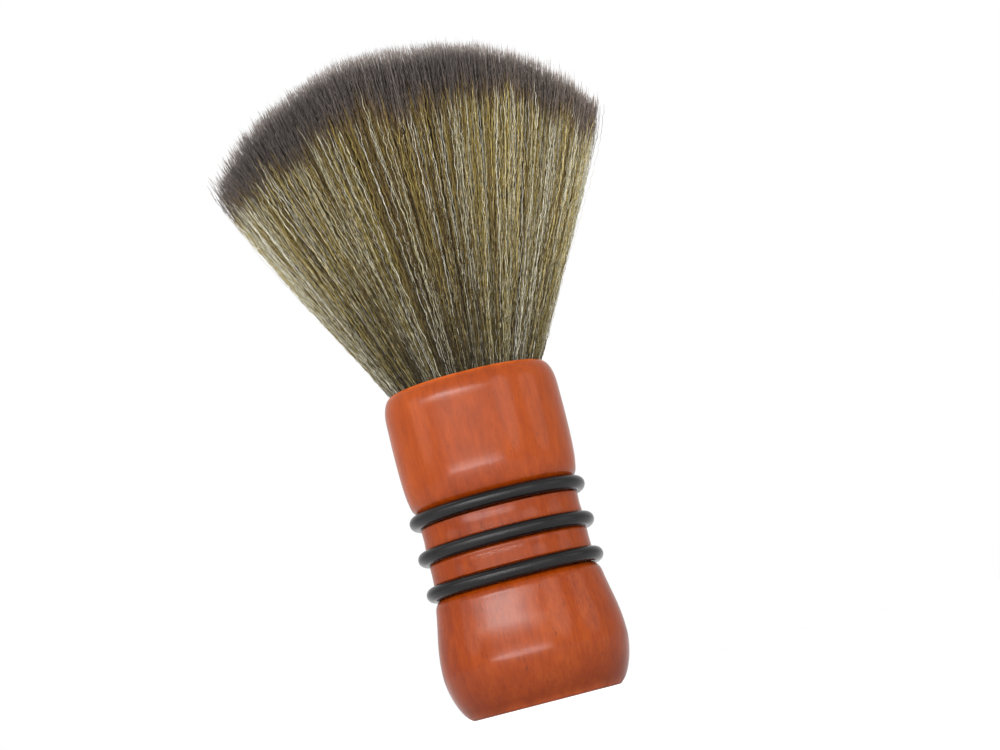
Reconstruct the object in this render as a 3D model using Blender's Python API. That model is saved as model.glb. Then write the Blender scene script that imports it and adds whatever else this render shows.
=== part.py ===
"""Neck duster brush: an oval wooden handle with three rubber grip rings and a fanned, domed tuft.

The handle stands on its flat base at Z = 0 with its broad faces towards -Y and +Y.
The tuft is bound and glued into a blind socket in the top of the handle.
Every cross-section is a rounded oval (a superellipse), so each solid is a stack of such ovals.
"""
import math

import bmesh
import bpy

# Handle, measured on the broad side
HANDLE_HEIGHT = 0.080
OVAL_POWER = 2.2  # how square the plan is: 2 is an ellipse, larger is squarer
DEPTH_INSET = 0.006  # half width minus half depth, the same at every height
# (height, half width) from the widest place near the base up to the start of the rim
HANDLE_OUTLINE = (
    (0.0115, 0.02260),
    (0.0150, 0.02250),
    (0.0190, 0.02200),
    (0.0230, 0.02125),
    (0.0270, 0.02052),
    (0.0300, 0.01997),
    (0.0330, 0.01960),
    (0.0370, 0.01950),
    (0.0460, 0.01950),
    (0.0510, 0.02030),
    (0.0545, 0.02110),
    (0.0590, 0.02150),
    (0.0665, 0.02170),
    (0.0740, 0.02170),
)
BASE_ROUND_IN = 0.0050
BASE_ROUND_POWER = 1.65  # below 2, so the turn starts and ends more crisply than an ellipse
RIM_ROUND_IN = 0.0024
RIM_FLAT = 0.0002

# Rubber rings and their grooves
RING_HEIGHTS = {"o_ring_lower": 0.0310, "o_ring_middle": 0.0397, "o_ring_upper": 0.0486}
RING_CORD_RADIUS = 0.00175
RING_SEAT_GAP = 0.0003
WAIST_HALF_WIDTH = 0.0195
RING_HALF_WIDTH = WAIST_HALF_WIDTH + 0.00065  # centre line of the cord

# Socket and what is set in it
MOUTH_HALF_WIDTH = 0.0191
SOCKET_HALF_WIDTH = 0.0168
MOUTH_FLARE_HEIGHT = 0.0070
SOCKET_FLOOR = 0.0535
SEAT_GAP = 0.0003
PLUG_THICKNESS = 0.0045
ROOT_HALF_WIDTH = 0.0152
ROOT_TOP = 0.0740
BINDING_BOTTOM = 0.0595
BINDING_COILS = 6
BINDING_THREAD_RADIUS = 0.00045

# Tuft
TUFT_BOTTOM = 0.0776
TUFT_NECK_HALF_WIDTH = 0.0165
TUFT_NECK_HALF_DEPTH = 0.0110
TUFT_MOUTH_HALF_WIDTH = 0.0181
TUFT_TOP_HALF_WIDTH = 0.0490
TUFT_TOP_POWER = 2.3
TUFT_MOUTH_HALF_DEPTH = 0.0118
TUFT_TOP_HALF_DEPTH = 0.0270
TUFT_CENTRE_LENGTH = 0.0850
DOME_DROP_X = 0.0235  # how much shorter the bundle is at its left and right corners
DOME_DROP_Y = 0.0065  # how much shorter it is at its front and back
DOME_POWER_X = 1.8
DOME_POWER_Y = 2.2
FLARE_POWER = 1.12  # the sides bulge outward a little on their way up
BEND_AXIS_HEIGHT = 0.082  # the tuft bends back and forth about this level

OVAL_STEPS = 64
TUFT_STEPS = 64


def clear_scene():
    for old in list(bpy.data.objects):
        bpy.data.objects.remove(old, do_unlink=True)


def make_material(name, color, roughness, metallic=0.0):
    material = bpy.data.materials.new(name)
    material.use_nodes = True
    shader = material.node_tree.nodes["Principled BSDF"]
    shader.inputs["Base Color"].default_value = (*color, 1.0)
    shader.inputs["Roughness"].default_value = roughness
    shader.inputs["Metallic"].default_value = metallic
    return material


def unit_oval(angle, power=OVAL_POWER):
    """A point on the superellipse whose half width and half depth are both 1."""
    c, s = math.cos(angle), math.sin(angle)
    return (
        math.copysign(abs(c) ** (2 / power), c),
        math.copysign(abs(s) ** (2 / power), s),
    )


def oval_ring(half_width, half_depth, height, steps=OVAL_STEPS):
    """Points of one horizontal oval, counter-clockwise seen from above."""
    ring = []
    for i in range(steps):
        x, y = unit_oval(math.tau * i / steps)
        ring.append((half_width * x, half_depth * y, height))
    return ring


def handle_ring(half_width, height):
    return oval_ring(half_width, half_width - DEPTH_INSET, height)


def bridge(bm, lower, upper):
    """Faces between two rings of vertices; the outside is seen when upper lies above lower."""
    count = len(lower)
    for i in range(count):
        j = (i + 1) % count
        bm.faces.new((lower[i], lower[j], upper[j], upper[i]))


def new_object(name, bm, material, origin=(0.0, 0.0, 0.0), sharp_angle=40.0):
    """Make an object from a bmesh in world coordinates, with its origin moved to origin."""
    bmesh.ops.recalc_face_normals(bm, faces=bm.faces)
    bmesh.ops.translate(bm, verts=bm.verts, vec=[-c for c in origin])
    mesh = bpy.data.meshes.new(name)
    bm.to_mesh(mesh)
    bm.free()
    mesh.materials.append(material)
    mesh.shade_smooth()
    mesh.set_sharp_from_angle(angle=math.radians(sharp_angle))
    obj = bpy.data.objects.new(name, mesh)
    obj.location = origin
    bpy.context.scene.collection.objects.link(obj)
    return obj


def stacked_solid(name, rings, material, **options):
    """A closed solid skinned through a stack of rings, flat at the first and last ring."""
    bm = bmesh.new()
    loops = [[bm.verts.new(p) for p in ring] for ring in rings]
    for lower, upper in zip(loops, loops[1:]):
        bridge(bm, lower, upper)
    bm.faces.new(list(reversed(loops[0])))
    bm.faces.new(loops[-1])
    return new_object(name, bm, material, **options)


def band_solid(name, rings, material):
    """A closed band round the Z axis: the last ring joins back to the first."""
    bm = bmesh.new()
    loops = [[bm.verts.new(p) for p in ring] for ring in rings]
    for lower, upper in zip(loops, loops[1:] + loops[:1]):
        bridge(bm, lower, upper)
    return new_object(name, bm, material)


def outline_half_width(height):
    """The handle's half width at a height, on a smooth curve through HANDLE_OUTLINE."""
    points = HANDLE_OUTLINE
    last = len(points) - 1

    def slope(i):
        before, after = points[max(i - 1, 0)], points[min(i + 1, last)]
        return (after[1] - before[1]) / (after[0] - before[0])

    k = max(i for i in range(last) if points[i][0] <= height or i == 0)
    (z0, w0), (z1, w1) = points[k], points[k + 1]
    span = z1 - z0
    t = min(max((height - z0) / span, 0.0), 1.0)
    return (
        (2 * t**3 - 3 * t**2 + 1) * w0
        + (t**3 - 2 * t**2 + t) * span * slope(k)
        + (3 * t**2 - 2 * t**3) * w1
        + (t**3 - t**2) * span * slope(k + 1)
    )


def groove_stations(centre):
    """(half width, height) down a groove that clears the ring's cord by RING_SEAT_GAP."""
    radius = RING_CORD_RADIUS + RING_SEAT_GAP
    reach = RING_HALF_WIDTH - WAIST_HALF_WIDTH
    opening = math.acos(reach / radius)
    steps = 6
    stations = []
    for i in range(steps + 1):
        angle = opening * (2 * i / steps - 1)
        stations.append(
            (RING_HALF_WIDTH - radius * math.cos(angle), centre + radius * math.sin(angle))
        )
    return stations


def handle_stations():
    """(half width, height) up the outside of the handle, over the rim and down the socket."""
    stations = []
    base_top, base_width = HANDLE_OUTLINE[0]
    steps = 9
    for i in range(steps, 0, -1):
        across, down = unit_oval(math.pi / 2 * i / steps, BASE_ROUND_POWER)
        inward = BASE_ROUND_IN * (1 - across)
        stations.append((base_width - inward, base_top * (1 - down)))

    grooves = [groove_stations(z) for z in sorted(RING_HEIGHTS.values())]
    rim_start, rim_width = HANDLE_OUTLINE[-1]
    side_step = 0.002
    side_count = round((rim_start - base_top) / side_step)
    for i in range(side_count + 1):
        height = base_top + (rim_start - base_top) * i / side_count
        clear = all(height < g[0][1] - 0.0006 or height > g[-1][1] + 0.0006 for g in grooves)
        if clear:
            stations.append((outline_half_width(height), height))
    for groove in grooves:
        stations.extend(groove)
    stations.sort(key=lambda station: station[1])

    steps = 6
    for i in range(1, steps + 1):
        angle = math.pi / 2 * i / steps
        stations.append(
            (
                rim_width - RIM_ROUND_IN * (1 - math.cos(angle)),
                rim_start + (HANDLE_HEIGHT - rim_start) * math.sin(angle),
            )
        )
    stations.append((MOUTH_HALF_WIDTH, HANDLE_HEIGHT - RIM_FLAT))
    stations.append((SOCKET_HALF_WIDTH, HANDLE_HEIGHT - MOUTH_FLARE_HEIGHT))
    stations.append((SOCKET_HALF_WIDTH, SOCKET_FLOOR))
    return stations


def make_handle_block(material):
    rings = [handle_ring(width, height) for width, height in handle_stations()]
    return stacked_solid("handle_block", rings, material, sharp_angle=50.0)


def make_o_ring(name, height, material):
    steps = 12
    rings = []
    for i in range(steps):
        angle = -math.tau * i / steps
        half_width = RING_HALF_WIDTH - RING_CORD_RADIUS * math.cos(angle)
        rings.append(handle_ring(half_width, height + RING_CORD_RADIUS * math.sin(angle)))
    return band_solid(name, rings, material)


def make_glue_plug(material):
    half_width = SOCKET_HALF_WIDTH - SEAT_GAP
    bottom = SOCKET_FLOOR + SEAT_GAP
    rings = [handle_ring(half_width, bottom), handle_ring(half_width, bottom + PLUG_THICKNESS)]
    return stacked_solid("glue_plug", rings, material)


def make_bristle_root(material):
    """The bundle's bound lower end, pinched in a little where the thread is wound on it."""
    bottom = SOCKET_FLOOR + SEAT_GAP + PLUG_THICKNESS + SEAT_GAP
    pinch = ROOT_HALF_WIDTH - BINDING_THREAD_RADIUS
    binding_top = BINDING_BOTTOM + 2 * BINDING_THREAD_RADIUS * BINDING_COILS
    stations = (
        (ROOT_HALF_WIDTH, bottom),
        (pinch, BINDING_BOTTOM - 0.0004),
        (pinch, binding_top + 0.0004),
        (ROOT_HALF_WIDTH, binding_top + 0.0015),
        (ROOT_HALF_WIDTH, ROOT_TOP),
    )
    return stacked_solid("bristle_root", [handle_ring(*s) for s in stations], material)


def make_knot_binding(material):
    """Close turns of thread round the bundle, joined where they touch."""
    inner = ROOT_HALF_WIDTH - BINDING_THREAD_RADIUS + SEAT_GAP
    centre = inner + 0.5 * BINDING_THREAD_RADIUS
    top = BINDING_BOTTOM + 2 * BINDING_THREAD_RADIUS * BINDING_COILS
    stations = [(inner, top), (inner, BINDING_BOTTOM)]
    for coil in range(BINDING_COILS):
        middle = BINDING_BOTTOM + BINDING_THREAD_RADIUS * (2 * coil + 1)
        for angle in (-55, 0, 55):
            turn = math.radians(angle)
            stations.append(
                (
                    centre + BINDING_THREAD_RADIUS * math.cos(turn),
                    middle + BINDING_THREAD_RADIUS * math.sin(turn),
                )
            )
    return band_solid("knot_binding", [handle_ring(*s) for s in stations], material)


def tuft_point(angle, reach, rise):
    """A point of the tuft: angle round the bundle, reach (0 to 1) out from its centre line,
    and rise (0 to 1) up the filament that stands there."""
    top_x, top_y = unit_oval(angle, TUFT_TOP_POWER)
    length = (
        TUFT_CENTRE_LENGTH
        - DOME_DROP_X * abs(reach * top_x) ** DOME_POWER_X
        - DOME_DROP_Y * abs(reach * top_y) ** DOME_POWER_Y
    )
    spread = 1 - (1 - rise) ** FLARE_POWER
    x, y = unit_oval(angle, OVAL_POWER + (TUFT_TOP_POWER - OVAL_POWER) * spread)
    half_width = TUFT_MOUTH_HALF_WIDTH + (TUFT_TOP_HALF_WIDTH - TUFT_MOUTH_HALF_WIDTH) * spread
    half_depth = TUFT_MOUTH_HALF_DEPTH + (TUFT_TOP_HALF_DEPTH - TUFT_MOUTH_HALF_DEPTH) * spread
    return (
        reach * half_width * x,
        reach * half_depth * y,
        HANDLE_HEIGHT + length * rise,
    )


def make_bristle_tuft(material):
    """The fanned bundle as one solid: a short neck, the flared sides and the domed top."""
    angles = [math.tau * i / TUFT_STEPS for i in range(TUFT_STEPS)]
    rings = [oval_ring(TUFT_NECK_HALF_WIDTH, TUFT_NECK_HALF_DEPTH, TUFT_BOTTOM, TUFT_STEPS)]
    side_steps = 12
    for i in range(side_steps + 1):
        rings.append([tuft_point(angle, 1.0, i / side_steps) for angle in angles])
    dome_steps = 10
    for i in range(dome_steps - 1, 0, -1):
        rings.append([tuft_point(angle, i / dome_steps, 1.0) for angle in angles])

    bm = bmesh.new()
    loops = [[bm.verts.new(p) for p in ring] for ring in rings]
    for lower, upper in zip(loops, loops[1:]):
        bridge(bm, lower, upper)
    bm.faces.new(list(reversed(loops[0])))
    summit = bm.verts.new((0.0, 0.0, HANDLE_HEIGHT + TUFT_CENTRE_LENGTH))
    for i in range(TUFT_STEPS):
        bm.faces.new((loops[-1][i], loops[-1][(i + 1) % TUFT_STEPS], summit))
    return new_object("bristle_tuft", bm, material, origin=(0.0, 0.0, BEND_AXIS_HEIGHT))


def build():
    clear_scene()
    wood = make_material("lacquered_wood", (0.40, 0.080, 0.026), 0.34)
    rubber = make_material("black_rubber", (0.012, 0.011, 0.011), 0.48)
    epoxy = make_material("epoxy", (0.62, 0.52, 0.30), 0.25)
    thread = make_material("binding_thread", (0.55, 0.50, 0.42), 0.80)
    filament = make_material("filament", (0.20, 0.16, 0.09), 0.55)

    make_handle_block(wood)
    for name, height in RING_HEIGHTS.items():
        make_o_ring(name, height, rubber)
    make_glue_plug(epoxy)
    make_bristle_root(filament)
    make_knot_binding(thread)
    make_bristle_tuft(filament)


build()
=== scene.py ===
import math
from collections import namedtuple

import bpy
import numpy as np
from mathutils import Matrix, Vector


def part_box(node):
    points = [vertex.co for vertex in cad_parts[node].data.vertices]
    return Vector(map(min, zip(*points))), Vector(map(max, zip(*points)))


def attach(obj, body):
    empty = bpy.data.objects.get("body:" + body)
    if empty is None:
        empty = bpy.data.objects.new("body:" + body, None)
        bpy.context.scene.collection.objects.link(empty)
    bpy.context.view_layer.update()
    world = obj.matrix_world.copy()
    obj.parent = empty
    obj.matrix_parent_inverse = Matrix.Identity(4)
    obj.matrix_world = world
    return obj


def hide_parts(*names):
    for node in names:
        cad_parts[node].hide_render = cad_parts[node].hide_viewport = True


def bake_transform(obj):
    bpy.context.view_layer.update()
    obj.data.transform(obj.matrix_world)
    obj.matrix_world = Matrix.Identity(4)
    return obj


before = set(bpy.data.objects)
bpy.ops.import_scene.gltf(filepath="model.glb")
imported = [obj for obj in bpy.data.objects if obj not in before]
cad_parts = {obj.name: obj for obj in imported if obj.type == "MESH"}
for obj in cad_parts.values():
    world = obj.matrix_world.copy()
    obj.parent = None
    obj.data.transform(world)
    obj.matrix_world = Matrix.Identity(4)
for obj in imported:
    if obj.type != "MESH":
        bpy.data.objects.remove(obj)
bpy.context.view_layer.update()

rng = np.random.default_rng(20)

# ---------------------------------------------------------------- sizes, in metres
MM = 0.001
ON_PLANE, INSIDE_RIM = 1e-6, 1e-5
HANDLE_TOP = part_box("handle_block")[1]
RIM_HEIGHT = HANDLE_TOP.z
DEPTH_INSET = HANDLE_TOP.x - HANDLE_TOP.y
OVAL_POWER = 2.2
SHARP_ANGLE = math.radians(35)
HANDLE_STEPS = 224
OUTLINE_PIECES = 3
RING_STEPS = 240
CORD_STEPS = 20
RING_LIFT, RING_RIPPLE = 0.10 * MM, 0.06 * MM
# Lighter edges: on the rim rubbed stain with a painted highlight line, at the foot rubbed stain
RIM_WEAR_AND_HIGHLIGHT, RIM_WEAR_AND_HIGHLIGHT_WIDTH = 0.75, 0.7 * MM
FOOT_WEAR, FOOT_WEAR_WIDTH = 0.35, 1.2 * MM

# The bundle: it leaves the mouth as one oval and opens into another under a domed top
TUFT_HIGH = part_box("bristle_tuft")[1]
TOP_HALF_WIDTH = TUFT_HIGH.x
TOP_HALF_DEPTH = TUFT_HIGH.y
CENTRE_LENGTH = TUFT_HIGH.z - RIM_HEIGHT
MOUTH_HALF_WIDTH = 0.0189
MOUTH_HALF_DEPTH = MOUTH_HALF_WIDTH - DEPTH_INSET
TOP_POWER = 2.3
DOME_DROP_X, DOME_POWER_X = 0.0235, 1.8
DOME_DROP_Y, DOME_POWER_Y = 0.0065, 2.2
FLARE_POWER = 1.12
ROOT_DEPTH = 0.0040
ROOT_TAPER = 0.10
CORE_REACH = 0.80
CORE_BELOW_TIPS = 0.0075
CORE_COLUMNS, CORE_ROWS, CORE_DOME_ROWS = 96, 26, 12

# Strands: their size, how they stray, and how the pale ones sink at the mouth and come out above it
FILAMENT_RADIUS = 0.000092
THICKNESS_RANGE, INNER_THICKNESS_RANGE = (0.75, 1.25), (0.8, 1.3)
LEAN, PALE_LEAN = 0.0007, 1.4
WANDER_SPREAD, WANDER_TURNS = 0.45, (0.7, 2.2)
CRIMP_START, CRIMP_END = 0.01, 0.97
PALE_LAYER = 0.15
SINK, PALE_SINK = 0.05, 0.11
EMERGE_RISE, EMERGE_POWER = 0.75, 1.5
# Strand tone: its random spread and patches, and painted light that lightens strands to the right
SHADE_SPREAD, SHADE_PATCHES, PAINTED_LIGHT_TO_RIGHT = 0.20, 0.10, 0.22

# The cut: gentle waves, a little scatter, and small points that strands draw together into
TIPS_BELOW_TOP = 0.6 * MM
TRIM_WAVE, TRIM_SCATTER = 0.40 * MM, 0.17 * MM
# (place across the top from -1 to 1, extra length in millimetres): cut a little unevenly by hand
TRIM_SHAPE = (
    (-1.0, 1.8),
    (-0.5, 1.4),
    (-0.3, 0.2),
    (0.0, -0.4),
    (0.12, -0.8),
    (0.28, 0.0),
    (0.45, 0.8),
    (0.70, 0.3),
    (1.0, 0.1),
)
CLUMP_PITCH = 0.0017
CLUMP_STRAY, CLUMP_PULL, CLUMP_START = 0.35, 0.60, 0.72
CLUMP_POINT, CLUMP_STEP = 0.8 * MM, 0.40 * MM
# Three repeatable values for each clump, from the fraction of a large sine
CLUMP_HASH = ((12.9898, 78.233, 26.651), (39.346, 11.135, 63.727))
HASH_SIZE = 43758.5453

# The dyed ends
TIP_LENGTH = 0.0134
TIP_SHORTEST, TIP_LONGEST = 4 * MM, 20 * MM
TIP_WAVE, TIP_SCATTER = 1.5 * MM, 1.9 * MM
TIP_TAPER = 0.5
APEX_STEP = 0.6
INNER_TIP_LENGTH, INNER_TIP_RINGS, INNER_TIP_START = 15 * MM, 6, 0.15
DYE_FADE = 0.035
# Painted light on the dyed ends to the right, and weaker dye at the left corner: how much, where
# it starts, how wide
PAINTED_TIP_LIGHT_RIGHT, WEAK_DYE_LEFT = (0.56, 0.25, 0.55), (0.40, 0.75, 0.20)
# (place across the top from -1 to 1, how much shorter the dyed ends are in millimetres)
TIP_CUT_SHAPE = (
    (-1.0, 5.2),
    (-0.85, 2.4),
    (-0.6, 1.2),
    (0.0, 0.0),
    (0.2, 1.1),
    (0.4, 3.0),
    (0.6, 4.5),
    (0.8, 3.4),
    (1.0, 5.8),
)

# Filament batches: colour, strength of the glints painted along the crimp, painted shade at the
# mouth, thickness, share of the strands, how the share swings and with which wave field, how it
# grows where the bundle is lighter
Batch = namedtuple("Batch", "name color glint mouth_shade thickness share swing field to_sides")
BATCHES = (
    Batch("umber", (66, 51, 22), 0.24, 0.20, 1.0, 0.19, -0.05, 0, -0.22),
    Batch("bark", (88, 70, 32), 0.24, 0.22, 1.0, 0.18, -0.03, 0, -0.12),
    Batch("olive", (113, 95, 42), 0.26, 0.27, 1.0, 0.18, 0.04, 2, -0.03),
    Batch("moss", (140, 124, 65), 0.30, 0.35, 1.0, 0.16, 0.04, 0, 0.14),
    Batch("golden", (162, 145, 91), 0.32, 0.43, 0.9, 0.10, 0.03, 1, 0.15),
    Batch("sage", (172, 166, 138), 0.38, 0.58, 0.58, 0.13, 0.03, 2, 0.10),
    Batch("silver", (200, 197, 181), 0.40, 0.74, 0.52, 0.10, 0.02, 1, 0.06),
)
FIRST_PALE = 5
LEAST_SHARE = 0.02
# Where the bundle is lighter across its width: to the right, as painted light from that side,
# at both sides, and not near the middle
LIGHT_BASE, PAINTED_LIGHT_RIGHT, LIGHT_SIDES = 0.10, 0.30, 0.75
DARK_MIDDLE, DARK_PLACE, DARK_WIDTH = 0.80, -0.05, 0.38

# The studio
FLOOR_REACH = 6.0
CAMERA_POSITION = (0.0, -0.370, 0.0015)
CAMERA_AIM = (0.0085, 0.0, RIM_HEIGHT - 0.0004)
CAMERA_ROLL = math.radians(-14.5)
CAMERA_LENS, CAMERA_SENSOR, CAMERA_CLIP = 55.0, 36.0, (0.01, 20.0)
# name, position, what it faces, width, height, watts; the key is three ovals, one inside another
SOFTBOXES = (
    ("key_0", (-0.26, -0.86, 0.42), (0, 0, 0.03), 0.58, 0.110, 2.6),
    ("key_1", (-0.26, -0.86, 0.42), (0, 0, 0.03), 0.87, 0.165, 2.6),
    ("key_2", (-0.26, -0.86, 0.42), (0, 0, 0.03), 1.16, 0.220, 2.6),
    ("low_strip", (-0.20, -0.95, 0.060), (0, 0, 0.02), 0.90, 0.018, 2.1),
    ("mid", (-0.10, -0.88, 0.20), (0, 0, 0.05), 0.90, 0.30, 0.7),
    ("left", (-0.76, -0.54, 0.36), (0, 0, 0.04), 0.42, 0.46, 0.8),
    ("right", (0.40, -0.80, 0.34), (0, 0, 0.04), 0.30, 0.50, 1.0),
    ("side", (0.80, -0.42, 0.28), (0, 0, 0.10), 0.44, 0.44, 0.7),
    ("top", (-0.25, 0.10, 0.95), (0, 0, 0.12), 0.60, 0.40, 1.6),
)


def linear(red, green, blue):
    """An sRGB colour given in 0 to 255, as linear values with alpha 1."""
    channels = []
    for value in (red, green, blue):
        c = value / 255
        channels.append(c / 12.92 if c <= 0.04045 else ((c + 0.055) / 1.055) ** 2.4)
    return (*channels, 1.0)


# ---------------------------------------------------------------- material helpers
class Nodes:
    """A short way to write one material's node tree."""

    def __init__(self, name):
        self.material = bpy.data.materials.new(name)
        self.material.use_nodes = True
        self.tree = self.material.node_tree
        self.shader = self.tree.nodes["Principled BSDF"]

    def add(self, kind, **inputs):
        """A new node; keywords that name a node setting set it, the others set or link an input."""
        node = self.tree.nodes.new("ShaderNode" + kind)
        for key, value in inputs.items():
            if hasattr(node, key):
                setattr(node, key, value)
            else:
                self.feed(node, key.replace("_", " "), value)
        return node

    def feed(self, node, socket, value):
        target = node.inputs[socket]
        if isinstance(value, bpy.types.NodeSocket):
            self.tree.links.new(value, target)
        else:
            target.default_value = value

    def principled(self, **inputs):
        for key, value in inputs.items():
            self.feed(self.shader, key.replace("_", " "), value)

    def coordinates(self, scale):
        """Object coordinates, which are the frame's metres, scaled per axis."""
        place = self.add("TexCoord").outputs["Object"]
        return self.add("Mapping", Vector=place, Scale=scale).outputs["Vector"]

    def noise(self, scale, detail=2.0, roughness=0.5, distortion=0.0):
        """Noise with scale features to the metre along each axis."""
        node = self.add(
            "TexNoise",
            Vector=self.coordinates(scale),
            Scale=1.0,
            Detail=detail,
            Roughness=roughness,
            Distortion=distortion,
        )
        return node.outputs["Fac"]

    def ramp(self, fac, stops):
        """A colour ramp; stops are (position, colour) with colour a grey value or an RGBA."""
        node = self.add("ValToRGB", Fac=fac)
        elements = node.color_ramp.elements
        while len(elements) < len(stops):
            elements.new(1.0)
        for element, (position, color) in zip(elements, stops):
            element.position = position
            element.color = color if isinstance(color, tuple) else (color,) * 3 + (1.0,)
        return node.outputs["Color"]

    def spread(self, value, low, high, to_low, to_high):
        """value taken from the range low..high to the range to_low..to_high."""
        source = {"From_Min": low, "From_Max": high}
        node = self.add("MapRange", Value=value, **source, To_Min=to_low, To_Max=to_high)
        return node.outputs["Result"]

    def mix(self, fac, a, b, how="MIX"):
        """Two colours mixed: the node has sockets for every data type, and 6 and 7 are colours."""
        node = self.add("Mix", data_type="RGBA", blend_type=how)
        for socket, value in ((0, fac), (6, a), (7, b)):
            self.feed(node, socket, value)
        return node.outputs[2]

    def math(self, how, a, b):
        node = self.add("Math", operation=how)
        for socket, value in ((0, a), (1, b)):
            self.feed(node, socket, value)
        return node.outputs[0]

    def bump(self, height, strength, distance):
        node = self.add("Bump", Strength=strength, Distance=distance, Height=height)
        return node.outputs["Normal"]

    def attribute(self, name):
        return self.add("Attribute", attribute_name=name).outputs["Fac"]


# ---------------------------------------------------------------- materials
def wood_material():
    """Red-brown stained wood under satin lacquer: drift, soft streaks up the grain, tiny pores."""
    m = Nodes("stained_lacquered_wood")
    drift = m.noise((24, 24, 12), detail=3.0, roughness=0.5)
    streaks = m.noise((330, 330, 34), detail=4.0, roughness=0.6, distortion=0.3)
    fine = m.noise((1700, 1700, 150), detail=3.0, roughness=0.6)
    mottle = m.noise((420, 420, 150), detail=3.0, roughness=0.6)
    tone = m.math("ADD", m.math("MULTIPLY", drift, 0.5), m.math("MULTIPLY", streaks, 0.20))
    tone = m.math("ADD", tone, m.math("MULTIPLY", mottle, 0.30))
    color = m.ramp(
        tone,
        [
            (0.34, linear(98, 32, 2)),
            (0.46, linear(117, 43, 2)),
            (0.56, linear(128, 51, 4)),
            (0.68, linear(143, 64, 9)),
        ],
    )
    color = m.mix(m.spread(fine, 0.36, 0.66, 0.0, 0.26), color, linear(160, 118, 90), "MULTIPLY")

    pore_field = m.noise((3000, 3000, 560), detail=1.0, roughness=0.4)
    where = m.spread(m.noise((260, 260, 120), detail=2.0), 0.40, 0.62, 0.0, 1.0)
    pores = m.math("MULTIPLY", m.spread(pore_field, 0.62, 0.72, 0.0, 1.0), where)
    color = m.mix(m.math("MULTIPLY", pores, 0.50), color, linear(70, 20, 6))

    height = m.add("SeparateXYZ", Vector=m.coordinates((1, 1, 1))).outputs["Z"]
    # painted light: the wood above the waist lighter, where more light falls on it
    painted_upper_light = m.spread(height, 0.050, 0.058, 0.0, 0.12)
    color = m.mix(painted_upper_light, color, linear(186, 90, 32))
    # painted shade: the foot darker towards the bottom
    painted_foot_shade = m.spread(height, 0.001, 0.013, 0.50, 0.0)
    color = m.mix(painted_foot_shade, color, linear(70, 22, 4))

    # lighter orange edges: rubbed stain, and along the rim also a painted highlight line
    wear_and_highlight = m.attribute("edge_wear_and_highlight")
    worn_and_lit = m.math("MULTIPLY", wear_and_highlight, m.spread(streaks, 0.3, 0.7, 0.35, 1.0))
    color = m.mix(worn_and_lit, color, linear(214, 104, 50))

    orange_peel = m.noise((1500, 1500, 1500), detail=2.0, roughness=0.5)
    peel_relief, pore_relief = m.math("MULTIPLY", orange_peel, 0.6), m.math("MULTIPLY", pores, 0.8)
    relief = m.math("SUBTRACT", peel_relief, pore_relief)
    relief = m.math("ADD", relief, m.math("MULTIPLY", fine, 0.35))
    roughness = m.spread(m.noise((120, 120, 40), detail=3.0), 0.3, 0.7, 0.33, 0.42)
    lacquer = m.noise((2300, 2300, 1500), detail=2.0, roughness=0.6)
    m.principled(
        Base_Color=color,
        Roughness=roughness,
        Normal=m.bump(relief, 0.85, 0.00005),
        Specular_IOR_Level=0.06,
        Coat_Weight=0.37,
        Coat_Roughness=0.14,
        Coat_IOR=1.45,
        Coat_Normal=m.bump(lacquer, 0.5, 0.00002),
    )
    return m.material


def rubber_material():
    """Black moulded rubber: a soft sheen, a faint dusty bloom and fine handling marks."""
    m = Nodes("black_ring_rubber")
    bloom = m.noise((90, 90, 240), detail=4.0, roughness=0.6)
    specks = m.noise((2600, 2600, 2600), detail=1.0)
    color = m.ramp(bloom, [(0.35, linear(6, 5, 6)), (0.72, linear(15, 13, 14))])
    color = m.mix(m.spread(specks, 0.70, 0.82, 0.0, 0.25), color, linear(70, 66, 66))
    m.principled(
        Base_Color=color,
        Roughness=m.spread(bloom, 0.3, 0.7, 0.22, 0.32),
        Normal=m.bump(m.noise((1400, 1400, 1400), detail=3.0), 0.20, 0.00004),
        Specular_IOR_Level=0.24,
    )
    return m.material


def filament_material(name, color, glint, mouth_shade):
    """One batch of crimped filament: its own tone for each strand with painted light to the right,
    painted glints along the crimp, painted shade at the mouth.
    """
    m = Nodes(name)
    shade = m.spread(m.attribute("strand_tone_and_light"), 0.0, 1.0, 0.62, 1.22)
    crimp = m.noise((900, 900, 900), detail=2.0, roughness=0.6)
    # painted glints: the crimp noise lightens and darkens the colour along each strand
    mottle = m.spread(crimp, 0.35, 0.68, 1.0 - glint, 1.0 + glint)
    # painted shade: darker towards the mouth, where the strands shade each other
    depth = m.spread(m.attribute("rise"), 0.0, 0.60, mouth_shade, 1.0)
    value = m.math("MULTIPLY", m.math("MULTIPLY", shade, mottle), depth)
    grey = m.add("CombineColor", Red=value, Green=value, Blue=value).outputs["Color"]
    faded = m.mix(m.attribute("dye"), linear(*color), linear(98, 81, 58))
    m.principled(
        Base_Color=m.mix(1.0, faded, grey, "MULTIPLY"),
        Roughness=0.42,
        Specular_IOR_Level=0.26,
    )
    return m.material


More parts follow.
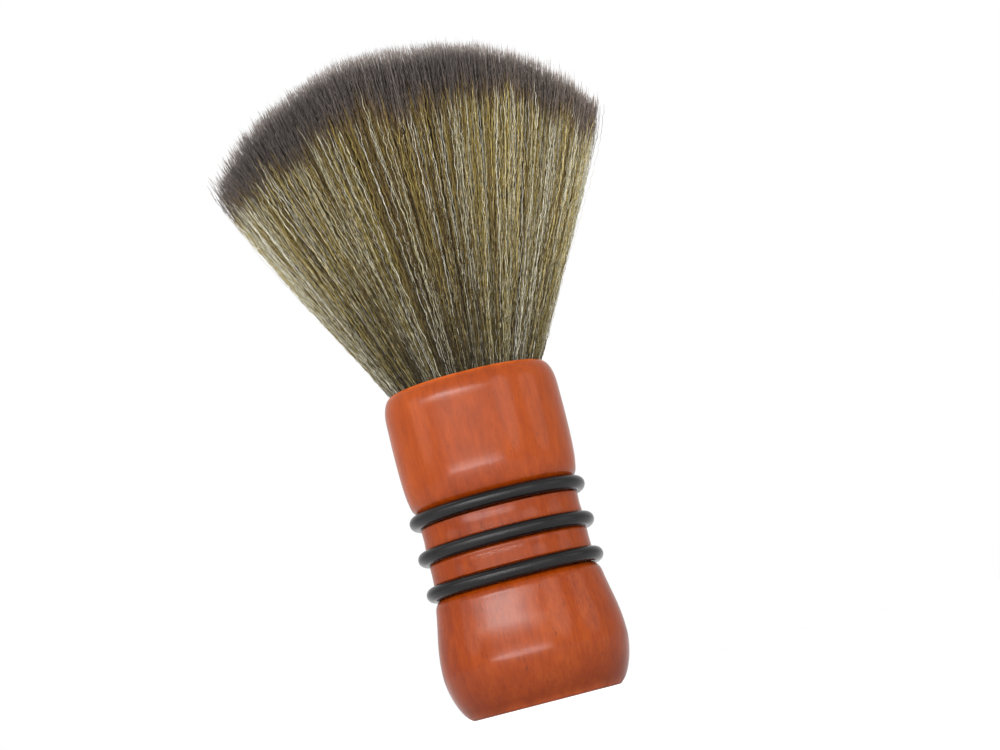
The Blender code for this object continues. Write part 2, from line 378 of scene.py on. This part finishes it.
def tip_material():
    """The dyed ends: brown where the dye begins, then dark grey-brown; the very tip greyer and
    lighter, as painted light through the thin ends.
    """
    m = Nodes("dyed_tip")
    shade = m.spread(m.attribute("strand_tone_and_light"), 0.0, 1.7, 0.66, 1.68)
    along = m.attribute("rise")
    color = m.ramp(
        along,
        [
            (0.00, linear(98, 81, 58)),
            (0.10, linear(78, 66, 56)),
            (0.28, linear(65, 57, 53)),
            (0.78, linear(71, 64, 61)),
            # painted light: the thin ends lighter, as light passes through them
            (1.00, linear(124, 115, 110)),
        ],
    )
    # lighter and warmer ends: weaker dye at the left corner, and painted light on the right
    weak_dye_and_right_light = m.spread(m.attribute("strand_tone_and_light"), 0.7, 1.6, 0.0, 0.45)
    color = m.mix(weak_dye_and_right_light, color, linear(104, 91, 80))
    crimp = m.noise((1100, 1100, 1100), detail=2.0, roughness=0.6)
    mottle = m.spread(crimp, 0.36, 0.64, 0.64, 1.38)
    value = m.math("MULTIPLY", shade, mottle)
    grey = m.add("CombineColor", Red=value, Green=value, Blue=value).outputs["Color"]
    m.principled(
        Base_Color=m.mix(1.0, color, grey, "MULTIPLY"),
        Roughness=0.5,
        Specular_IOR_Level=0.3,
    )
    return m.material


def core_material():
    """Painted shade between strands: a dark colour with dark streaks that run up the bundle."""
    m = Nodes("painted_bundle_shade")
    streaks = m.noise((700, 700, 18), detail=3.0, roughness=0.7)
    color = m.ramp(streaks, [(0.35, linear(26, 21, 14)), (0.65, linear(58, 48, 32))])
    m.principled(Base_Color=color, Roughness=0.8, Specular_IOR_Level=0.2)
    return m.material


def epoxy_material():
    """Set epoxy: amber, glossy, with trapped cloudiness."""
    m = Nodes("amber_epoxy")
    cloud = m.noise((160, 160, 160), detail=4.0)
    color = m.ramp(cloud, [(0.3, linear(170, 130, 70)), (0.7, linear(214, 186, 128))])
    m.principled(
        Base_Color=color,
        Roughness=m.spread(cloud, 0.3, 0.7, 0.12, 0.3),
        Coat_Weight=0.4,
        Coat_Roughness=0.08,
    )
    return m.material


def thread_material():
    """Natural waxed thread, twisted, with loose fibres."""
    m = Nodes("waxed_thread")
    twist = m.noise((900, 900, 2600), detail=3.0, roughness=0.7)
    color = m.ramp(twist, [(0.3, linear(150, 136, 108)), (0.7, linear(206, 196, 168))])
    m.principled(
        Base_Color=color,
        Roughness=0.75,
        Normal=m.bump(twist, 0.5, 0.0001),
        Sheen_Weight=0.2,
    )
    return m.material


def floor_material():
    """A white studio sweep, very slightly uneven."""
    m = Nodes("studio_floor")
    grain = m.noise((9, 9, 9), detail=3.0)
    color = m.ramp(grain, [(0.0, 0.985), (1.0, 1.0)])
    m.principled(Base_Color=color, Roughness=0.7, Specular_IOR_Level=0.2)
    return m.material


# ---------------------------------------------------------------- mesh helpers
def oval(across, around, power):
    """Points of the unit oval, which is a superellipse, from an angle's cosine and sine."""
    return (
        np.sign(across) * np.abs(across) ** (2 / power),
        np.sign(around) * np.abs(around) ** (2 / power),
    )


def mesh_object(name, vertices, faces, material):
    """A smooth object from an array of vertices and a list of face arrays, one per corner count."""
    mesh = bpy.data.meshes.new(name)
    mesh.vertices.add(len(vertices))
    mesh.vertices.foreach_set("co", np.asarray(vertices, np.float32).ravel())
    loops = np.concatenate([f.ravel() for f in faces])
    sizes = np.concatenate([np.full(len(f), f.shape[1]) for f in faces])
    starts = np.concatenate([[0], np.cumsum(sizes)[:-1]])
    mesh.loops.add(len(loops))
    mesh.loops.foreach_set("vertex_index", loops.astype(np.int32))
    mesh.polygons.add(len(sizes))
    mesh.polygons.foreach_set("loop_start", starts.astype(np.int32))
    mesh.polygons.foreach_set("loop_total", sizes.astype(np.int32))
    mesh.polygons.foreach_set("use_smooth", np.ones(len(sizes), bool))
    mesh.update(calc_edges=True)
    mesh.validate()
    mesh.materials.append(material)
    obj = bpy.data.objects.new(name, mesh)
    bpy.context.scene.collection.objects.link(obj)
    return obj


def point_attribute(obj, name, values):
    attribute = obj.data.attributes.new(name, "FLOAT", "POINT")
    attribute.data.foreach_set("value", np.asarray(values, np.float32).ravel())


def grid_faces(rows, columns, closed_rows=False):
    """Quads of a grid of points that closes round its columns, and round its rows too if asked."""
    row = np.arange(rows if closed_rows else rows - 1)[:, None]
    column = np.arange(columns)[None, :]
    above, beside = (row + 1) % rows, (column + 1) % columns
    corners = (
        row * columns + column,
        row * columns + beside,
        above * columns + beside,
        above * columns + column,
    )
    return np.stack([c.reshape(-1) for c in np.broadcast_arrays(*corners)], 1)


def smooth_through(points, pieces):
    """A finer run of points on a Catmull-Rom curve through points."""
    points = np.asarray(points, float)
    ends = np.vstack([2 * points[0] - points[1], points, 2 * points[-1] - points[-2]])
    result = []
    for i in range(len(points) - 1):
        p0, p1, p2, p3 = ends[i : i + 4]
        for t in np.arange(pieces) / pieces:
            result.append(
                0.5
                * (
                    2 * p1
                    + (p2 - p0) * t
                    + (2 * p0 - 5 * p1 + 4 * p2 - p3) * t**2
                    + (3 * p1 - p0 - 3 * p2 + p3) * t**3
                )
            )
    result.append(points[-1])
    return np.array(result)


# ---------------------------------------------------------------- handle
def even_angles(count):
    """Angles that space points evenly along an oval of the handle's proportions."""
    fine = np.linspace(0, math.tau, 8001)
    x, y = oval(np.cos(fine), np.sin(fine), OVAL_POWER)
    x, y = HANDLE_TOP.x * x, HANDLE_TOP.y * y
    travelled = np.concatenate([[0], np.cumsum(np.hypot(np.diff(x), np.diff(y)))])
    return np.interp(np.arange(count) * travelled[-1] / count, travelled, fine)


def cad_outline():
    """(half width, height) up the outside of the CAD handle, and down its socket, where Y is 0."""
    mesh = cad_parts["handle_block"].data
    points = np.array([v.co for v in mesh.vertices])
    side = points[(np.abs(points[:, 1]) < ON_PLANE) & (points[:, 0] > 0)]
    side = np.unique(side.round(6), axis=0)[:, [0, 2]]
    rim_width = side[side[:, 1].argmax(), 0]
    plug_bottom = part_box("glue_plug")[0].z
    inside = (side[:, 0] < rim_width - INSIDE_RIM) & (side[:, 1] > plug_bottom - MM)
    outer, inner = side[~inside], side[inside]
    return outer[outer[:, 1].argsort()], inner[(-inner[:, 1]).argsort()]


def edge_wear_and_highlight(height):
    """How much lighter the edges are at each height: rubbed stain and a painted highlight line on
    the rim, a little rubbed stain at the foot.
    """
    rim = RIM_WEAR_AND_HIGHLIGHT * np.exp(-(((height - RIM_HEIGHT) / RIM_WEAR_AND_HIGHLIGHT_WIDTH) ** 2))
    foot = FOOT_WEAR * np.exp(-((height / FOOT_WEAR_WIDTH) ** 2))
    return rim + foot


def make_handle():
    """The block as one finer surface: up its outside, over the rim, down to the socket's floor."""
    outer, inner = cad_outline()
    outline = np.vstack([smooth_through(outer, OUTLINE_PIECES), inner])
    angle = even_angles(HANDLE_STEPS)
    x, y = oval(np.cos(angle), np.sin(angle), OVAL_POWER)
    half_width, height = outline[:, :1], outline[:, 1:]
    vertices = np.stack(
        [half_width * x, (half_width - DEPTH_INSET) * y, height + 0 * x], axis=2
    ).reshape(-1, 3)
    ring = np.arange(HANDLE_STEPS)
    foot, floor = ring[None, ::-1], ring[None, :] + HANDLE_STEPS * (len(outline) - 1)
    sides = grid_faces(len(outline), HANDLE_STEPS)
    obj = mesh_object("handle_wood", vertices, [sides, foot, floor], wood_material())
    obj.data.set_sharp_from_angle(angle=SHARP_ANGLE)
    point_attribute(obj, "edge_wear_and_highlight", edge_wear_and_highlight(vertices[:, 2]))
    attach(obj, "handle")
    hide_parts("handle_block")


# ---------------------------------------------------------------- rubber rings
def make_ring(node, material):
    """A round cord stretched round the waist, a little uneven as a hand-fitted ring is."""
    low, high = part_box(node)
    cord_radius = (high.z - low.z) / 2
    half_width = high.x - cord_radius
    half_depth = high.y - cord_radius
    angle = even_angles(RING_STEPS)
    x, y = oval(np.cos(angle), np.sin(angle), OVAL_POWER)
    outward = np.stack(
        [
            np.sign(x) * np.abs(x) ** (OVAL_POWER - 1) / half_width,
            np.sign(y) * np.abs(y) ** (OVAL_POWER - 1) / half_depth,
        ],
        axis=1,
    )
    outward /= np.linalg.norm(outward, axis=1)[:, None]
    phase = rng.uniform(0, math.tau, 2)
    lift = RING_LIFT * np.sin(angle + phase[0]) + RING_RIPPLE * np.sin(3 * angle + phase[1])
    turn = np.arange(CORD_STEPS) * math.tau / CORD_STEPS
    out, up = cord_radius * np.cos(turn), -cord_radius * np.sin(turn)
    vertices = np.stack(
        [
            half_width * x[:, None] + outward[:, :1] * out,
            half_depth * y[:, None] + outward[:, 1:] * out,
            ((low.z + high.z) / 2 + lift)[:, None] + up,
        ],
        axis=2,
    ).reshape(-1, 3)
    faces = grid_faces(RING_STEPS, CORD_STEPS, closed_rows=True)
    obj = mesh_object(node + "_rubber", vertices, [faces], material)
    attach(obj, "handle")
    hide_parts(node)


# ---------------------------------------------------------------- filaments
def scattered(count, inner, outer, power):
    """Seeded random strands in the unit oval between two reaches: (cosine, sine, reach) of each."""
    across, around, reach = [], [], []
    found = 0
    while found < count:
        x, y = rng.uniform(-1, 1, (2, 4 * count))
        r = (np.abs(x) ** power + np.abs(y) ** power) ** (1 / power)
        keep = (r > inner) & (r < outer)
        x, y, r = x[keep], y[keep], r[keep]
        across.append(np.sign(x) * np.abs(x / r) ** (power / 2))
        around.append(np.sign(y) * np.abs(y / r) ** (power / 2))
        reach.append(r)
        found += len(r)
    return tuple(np.concatenate(v)[:count] for v in (across, around, reach))


def smooth_noise(place, seed_waves):
    """A gentle repeatable wave field over points of the unit oval, about -1 to 1."""
    total = np.zeros(len(place))
    for ax, ay, phase in seed_waves:
        total += np.sin(place[:, 0] * ax + place[:, 1] * ay + phase)
    return total / np.sqrt(len(seed_waves) / 2)


def waves(count, pitch):
    """Seeded random waves for smooth_noise, about pitch radians to the oval's half width."""
    angle = rng.uniform(0, math.tau, count)
    size = pitch * rng.uniform(0.6, 1.5, count)
    phase = rng.uniform(0, math.tau, count)
    return np.stack([size * np.cos(angle), size * np.sin(angle), phase], 1)


def dome_length(x, y):
    """How long a strand is that ends at a point of the unit oval."""
    drop_x = DOME_DROP_X * np.abs(x) ** DOME_POWER_X
    drop_y = DOME_DROP_Y * np.abs(y) ** DOME_POWER_Y
    return CENTRE_LENGTH - drop_x - drop_y


def flare(rise):
    """How far the bundle has opened at each rise from mouth to top, and its half sizes there."""
    opened = 1 - (1 - np.clip(rise, 0, 1)) ** FLARE_POWER
    half_width = MOUTH_HALF_WIDTH + (TOP_HALF_WIDTH - MOUTH_HALF_WIDTH) * opened
    half_depth = MOUTH_HALF_DEPTH + (TOP_HALF_DEPTH - MOUTH_HALF_DEPTH) * opened
    return opened, half_width, half_depth


class Strands:
    """A batch of strands: where each stands, how long it is, and its centre line at any rise."""

    def __init__(self, count, inner, outer, wander, crimp):
        self.across, self.around, self.reach = scattered(count, inner, outer, OVAL_POWER)
        self.place_tops()
        self.batch = batch_of(self.top)
        pale = self.batch >= FIRST_PALE
        self.reach = np.where(pale, outer - PALE_LAYER * (outer - self.reach), self.reach)
        self.place_tops()
        trim = TRIM_WAVE * smooth_noise(self.top, TRIM_WAVES) + rng.normal(0, TRIM_SCATTER, count)
        trim += MM * np.interp(self.top[:, 0], *np.transpose(TRIM_SHAPE))
        self.length = dome_length(*self.top.T) + trim - TIPS_BELOW_TOP
        self.wander = wander * rng.lognormal(0, WANDER_SPREAD, count)[:, None, None]
        self.lean = rng.normal(0, LEAN, (count, 2)) * np.where(pale, PALE_LEAN, 1.0)[:, None]
        self.crimp = crimp
        self.phase = rng.uniform(0, math.tau, (count, 4))
        self.pitch = rng.uniform(*WANDER_TURNS, (count, 4))
        patches = SHADE_PATCHES * smooth_noise(self.top, SHADE_WAVES)
        # painted light: strands lighter towards the right
        patches += PAINTED_LIGHT_TO_RIGHT * self.top[:, 0]
        self.shade = np.clip(rng.normal(0.5, SHADE_SPREAD, count) + patches, 0, 1)
        self.sink = np.where(pale, PALE_SINK, SINK) * rng.uniform(0, 1, count)
        self.gather_to_clumps()

    def place_tops(self):
        """Where each strand ends, as a point of the unit oval."""
        x, y = oval(self.across, self.around, TOP_POWER)
        self.top = np.stack([x, y], 1) * self.reach[:, None]

    def gather_to_clumps(self):
        """Ends draw together into small points, longest in the middle of each."""
        spots = self.top * np.array([TOP_HALF_WIDTH, TOP_HALF_DEPTH])
        cell = np.floor(spots / CLUMP_PITCH).astype(int)
        jitter = 2 * (np.sin(cell @ np.array(CLUMP_HASH)) * HASH_SIZE % 1) - 1
        centre = (cell + 0.5 + CLUMP_STRAY * jitter[:, :2]) * CLUMP_PITCH
        offset = centre - spots
        self.pull = CLUMP_PULL * offset
        self.length -= CLUMP_POINT * (np.linalg.norm(offset, axis=1) / CLUMP_PITCH) ** 2
        self.length += CLUMP_STEP * jitter[:, 2]

    def line(self, rise):
        """Centre-line points for an array of rises, one row for each strand."""
        opened, half_width, half_depth = flare(rise)
        power = OVAL_POWER + (TOP_POWER - OVAL_POWER) * opened
        x, y = oval(self.across[:, None], self.around[:, None], power)
        below = np.clip(-rise, 0, None) * self.length[:, None] / ROOT_DEPTH
        sunk = self.sink[:, None] * (1 - np.clip(rise / EMERGE_RISE, 0, 1)) ** EMERGE_POWER
        reach = (self.reach[:, None] - sunk) * (1 - ROOT_TAPER * below)
        place = np.stack(
            [
                reach * half_width * x,
                reach * half_depth * y,
                RIM_HEIGHT + self.length[:, None] * rise,
            ],
            axis=2,
        )
        freedom = np.clip(rise, 0, 1)[:, :, None]
        swing = np.sin(math.tau * self.pitch[:, None, :] * freedom + self.phase[:, None, :])
        drift = np.stack([swing[..., 0] + swing[..., 1], swing[..., 2] + swing[..., 3]], 2)
        place[..., :2] += self.wander * drift * np.sqrt(freedom) + self.lean[:, None, :] * freedom
        zigzag = rng.normal(0, 1, place.shape)
        place += self.crimp * zigzag * (freedom > CRIMP_START) * (freedom < CRIMP_END)
        gathered = np.clip((freedom - CLUMP_START) / (1 - CLUMP_START), 0, 1) ** 2
        place[..., :2] += self.pull[:, None, :] * gathered
        return place


def tube_mesh(lines, radii, end_point):
    """Vertices and faces of closed three-sided tubes along lines (strand, ring, xyz)."""
    strands, rings = lines.shape[:2]
    along = np.gradient(lines, axis=1)
    along /= np.linalg.norm(along, axis=2)[..., None]
    side = np.cross(along, np.array([0.31, 0.95, 0.05]))
    side /= np.linalg.norm(side, axis=2)[..., None]
    other = np.cross(along, side)
    turn = rng.uniform(0, math.tau, strands)[:, None]
    corners = []
    for k in range(3):
        a = turn + k * math.tau / 3
        offset = np.cos(a)[..., None] * side + np.sin(a)[..., None] * other
        corners.append(lines + radii[..., None] * offset)
    vertices = np.stack(corners, 2)  # strand, ring, corner, xyz

    per_strand = rings * 3 + (1 if end_point else 0)
    start = (np.arange(strands) * per_strand)[:, None, None]
    ring = np.arange(rings - 1)[None, :, None] * 3
    corner = np.arange(3)[None, None, :]
    following = (corner + 1) % 3
    quads = np.stack(
        np.broadcast_arrays(
            start + ring + corner,
            start + ring + following,
            start + ring + 3 + following,
            start + ring + 3 + corner,
        ),
        axis=-1,
    ).reshape(-1, 4)
    begin = start[:, 0, :] + np.array([2, 1, 0])
    last = start[:, 0, :] + (rings - 1) * 3
    if end_point:
        apex = lines[:, -1] + (lines[:, -1] - lines[:, -2]) * APEX_STEP
        flat = np.concatenate([vertices.reshape(strands, -1, 3), apex[:, None]], 1)
        summit = last + 3
        caps = [np.concatenate([last + k, last + (k + 1) % 3, summit], 1) for k in range(3)]
        triangles = np.concatenate([begin, *caps])
    else:
        flat = vertices.reshape(strands, -1, 3)
        triangles = np.concatenate([begin, last + np.array([0, 1, 2])])
    return flat, [quads, triangles]


def strand_object(name, lines, radii, along, shade, material, end_point=False):
    """One piece of many strands; along gives attributes for each ring of each strand."""
    flat, faces = tube_mesh(lines, radii, end_point)
    obj = mesh_object(name, flat.reshape(-1, 3), faces, material)
    for attribute, values in along.items():
        per_corner = np.repeat(values, 3, axis=1)
        if end_point:
            per_corner = np.concatenate([per_corner, per_corner[:, -1:]], 1)
        point_attribute(obj, attribute, per_corner)
    point_attribute(obj, "strand_tone_and_light", np.repeat(shade, flat.shape[1]))
    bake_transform(obj)
    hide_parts("bristle_tuft")


def batch_of(place):
    """Which filament batch each strand is from: broad patches of one tone with others mixed in."""
    x = place[:, 0]
    # painted light: paler batches towards the right, where more light falls
    lightness = PAINTED_LIGHT_RIGHT * x + LIGHT_SIDES * x**2 + LIGHT_BASE
    lightness -= DARK_MIDDLE * np.exp(-(((x - DARK_PLACE) / DARK_WIDTH) ** 2))
    shares = [
        b.share + b.swing * smooth_noise(place, TONE_WAVES[b.field]) + b.to_sides * lightness
        for b in BATCHES
    ]
    weights = np.clip(np.stack(shares, 1), LEAST_SHARE, None)
    weights /= weights.sum(1)[:, None]
    draw = rng.uniform(0, 1, len(place))[:, None]
    return (draw > np.cumsum(weights, 1)).sum(1).clip(0, len(BATCHES) - 1)


def weak_dye_and_right_light(across):
    """How much lighter the dyed ends are: painted light to the right of the top, and weaker dye at
    its left corner.
    """
    total = np.zeros(len(across))
    for place, (amount, start, width) in ((across, PAINTED_TIP_LIGHT_RIGHT), (-across, WEAK_DYE_LEFT)):
        total += amount * np.clip((place - start) / width, 0, 1)
    return total


def make_filaments(label, strands, shaft_rings, tip_rings, materials, tips):
    """Shafts in their batches' tones, and dyed tips that carry on from them."""
    count = len(strands.length)
    across = strands.top[:, 0]
    streak = TIP_WAVE * smooth_noise(strands.top, STREAK_WAVES) + rng.normal(0, TIP_SCATTER, count)
    tip_length = TIP_LENGTH - MM * np.interp(across, *np.transpose(TIP_CUT_SHAPE)) + streak
    tip_length = np.clip(tip_length, TIP_SHORTEST, TIP_LONGEST)
    change = 1 - tip_length / strands.length
    root = -ROOT_DEPTH / strands.length
    shaft_rise = root[:, None] + (change - root)[:, None] * np.linspace(0, 1, shaft_rings)
    tip_share = tip_length[:, None] / strands.length[:, None]
    tip_rise = change[:, None] + tip_share * np.linspace(0, 1, tip_rings)
    lines = strands.line(np.concatenate([shaft_rise, tip_rise[:, 1:]], 1))
    thickness = FILAMENT_RADIUS * rng.uniform(*THICKNESS_RANGE, count)[:, None]
    dye = np.clip(1 - (change[:, None] - shaft_rise) / DYE_FADE, 0, 1)
    for index, batch in enumerate(BATCHES):
        chosen = np.flatnonzero(strands.batch == index)
        radii = thickness[chosen] * batch.thickness * np.ones(shaft_rings)
        strand_object(
            f"{label}_{batch.name}",
            lines[chosen, :shaft_rings],
            radii,
            {"rise": shaft_rise[chosen], "dye": dye[chosen]},
            strands.shade[chosen],
            materials[index],
        )
    taper = np.linspace(0, 1, tip_rings)
    size = np.array([b.thickness for b in BATCHES])[strands.batch][:, None]
    tip_radii = thickness * (size + (1 - size) * taper) * (1 - TIP_TAPER * taper**2)
    strand_object(
        f"{label}_tips",
        lines[:, shaft_rings - 1 :],
        tip_radii,
        {"rise": np.broadcast_to(taper, (count, tip_rings))},
        strands.shade + weak_dye_and_right_light(across),
        tips,
        end_point=True,
    )


def make_inner_tips(name, count, inner, outer, tips):
    """The ends of the strands inside the bundle, which fill the domed top."""
    strands = Strands(count, inner, outer, wander=0.5 * MM, crimp=0.05 * MM)
    share = 1 - INNER_TIP_LENGTH / strands.length
    taper = np.linspace(0, 1, INNER_TIP_RINGS)
    lines = strands.line(share[:, None] + (1 - share)[:, None] * taper)
    thickness = FILAMENT_RADIUS * rng.uniform(*INNER_THICKNESS_RANGE, count)[:, None]
    radii = thickness * (1 - TIP_TAPER * taper**2)
    dyed = INNER_TIP_START + (1 - INNER_TIP_START) * taper
    strand_object(
        name,
        lines,
        radii,
        {"rise": np.broadcast_to(dyed, (count, INNER_TIP_RINGS))},
        strands.shade + weak_dye_and_right_light(strands.top[:, 0]),
        tips,
        end_point=True,
    )


def make_core():
    """A dark solid inside the bundle, painted shade that closes the gaps between strands."""
    angle = np.arange(CORE_COLUMNS) * math.tau / CORE_COLUMNS
    x, y = oval(np.cos(angle), np.sin(angle), TOP_POWER)
    root = -ROOT_DEPTH / CENTRE_LENGTH
    rise = np.concatenate([[root], np.linspace(0, 1, CORE_ROWS - 1)])[:, None]
    _, half_width, half_depth = flare(rise)
    side_height = RIM_HEIGHT + (dome_length(x, y) - CORE_BELOW_TIPS) * rise
    side = np.stack([CORE_REACH * half_width * x, CORE_REACH * half_depth * y, side_height], axis=2)
    rings = [side.reshape(-1, 3)]
    for scale in np.linspace(1, 0, CORE_DOME_ROWS + 1)[1:-1]:
        width, depth = CORE_REACH * scale * TOP_HALF_WIDTH, CORE_REACH * scale * TOP_HALF_DEPTH
        height = RIM_HEIGHT + dome_length(x * scale, y * scale) - CORE_BELOW_TIPS
        rings.append(np.stack([width * x, depth * y, height], axis=1))
    ring = np.arange(CORE_COLUMNS)
    foot, top = ring[None, ::-1], ring[None, :] + CORE_COLUMNS * (CORE_ROWS + CORE_DOME_ROWS - 2)
    sides = grid_faces(CORE_ROWS + CORE_DOME_ROWS - 1, CORE_COLUMNS)
    obj = mesh_object("painted_shade_core", np.concatenate(rings), [sides, foot, top], core_material())
    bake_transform(obj)
    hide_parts("bristle_tuft")


TRIM_WAVES = waves(6, 9.0)
SHADE_WAVES = waves(6, 7.0)
STREAK_WAVES = waves(10, 22.0)
TONE_WAVES = [waves(8, 13.0), waves(8, 17.0), waves(8, 21.0)]

make_handle()
rubber = rubber_material()
for node in ("o_ring_lower", "o_ring_middle", "o_ring_upper"):
    make_ring(node, rubber)

filaments = [filament_material(*batch[:4]) for batch in BATCHES]
tips = tip_material()
surface = Strands(3200, inner=0.93, outer=1.0, wander=0.30 * MM, crimp=0.14 * MM)
make_filaments("surface", surface, shaft_rings=50, tip_rings=9, materials=filaments, tips=tips)
under = Strands(3600, inner=0.78, outer=0.93, wander=0.40 * MM, crimp=0.10 * MM)
make_filaments("under", under, shaft_rings=16, tip_rings=5, materials=filaments, tips=tips)
make_inner_tips("inner_tips_outer", 5500, inner=0.50, outer=0.88, tips=tips)
make_inner_tips("inner_tips_centre", 4500, inner=0.0, outer=0.52, tips=tips)
make_core()

for node, material in (
    ("glue_plug", epoxy_material()),
    ("knot_binding", thread_material()),
    ("bristle_root", filament_material("root_filament", (122, 104, 62), 0.2, 0.6)),
):
    cad_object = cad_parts[node]
    for material_slot in cad_object.material_slots:
        material_slot.material = material


# ---------------------------------------------------------------- studio
def make_floor():
    corners = FLOOR_REACH * np.array([(-1, -1, 0), (1, -1, 0), (1, 1, 0), (-1, 1, 0)])
    floor = mesh_object("studio_floor", corners, [np.array([[0, 1, 2, 3]])], floor_material())


def make_softbox(name, position, target, width, height, watts):
    """An oval lamp that faces its target."""
    data = bpy.data.lights.new(name, "AREA")
    data.shape = "ELLIPSE"
    data.size, data.size_y = width, height
    data.energy = watts
    lamp = bpy.data.objects.new(name, data)
    lamp.location = position
    lamp.rotation_euler = (Vector(target) - Vector(position)).to_track_quat("-Z", "Y").to_euler()
    bpy.context.scene.collection.objects.link(lamp)


def make_world():
    """White all round, as in a light tent."""
    world = bpy.data.worlds.new("studio")
    world.use_nodes = True
    background = world.node_tree.nodes["Background"]
    background.inputs["Color"].default_value = (1.0, 1.0, 1.0, 1.0)
    background.inputs["Strength"].default_value = 1.0
    bpy.context.scene.world = world


def make_camera():
    """At the height of the base, looking up a little, rolled so that the brush leans left."""
    data = bpy.data.cameras.new("camera")
    data.sensor_width = CAMERA_SENSOR
    data.lens = CAMERA_LENS
    data.clip_start, data.clip_end = CAMERA_CLIP
    camera = bpy.data.objects.new("camera", data)
    look = (Vector(CAMERA_AIM) - Vector(CAMERA_POSITION)).to_track_quat("-Z", "Y")
    camera.location = CAMERA_POSITION
    camera.rotation_euler = (look.to_matrix() @ Matrix.Rotation(CAMERA_ROLL, 3, "Z")).to_euler()
    bpy.context.scene.collection.objects.link(camera)
    bpy.context.scene.camera = camera


make_floor()
for softbox in SOFTBOXES:
    make_softbox(*softbox)
make_world()
make_camera()
bpy.context.scene.view_settings.view_transform = "Standard"
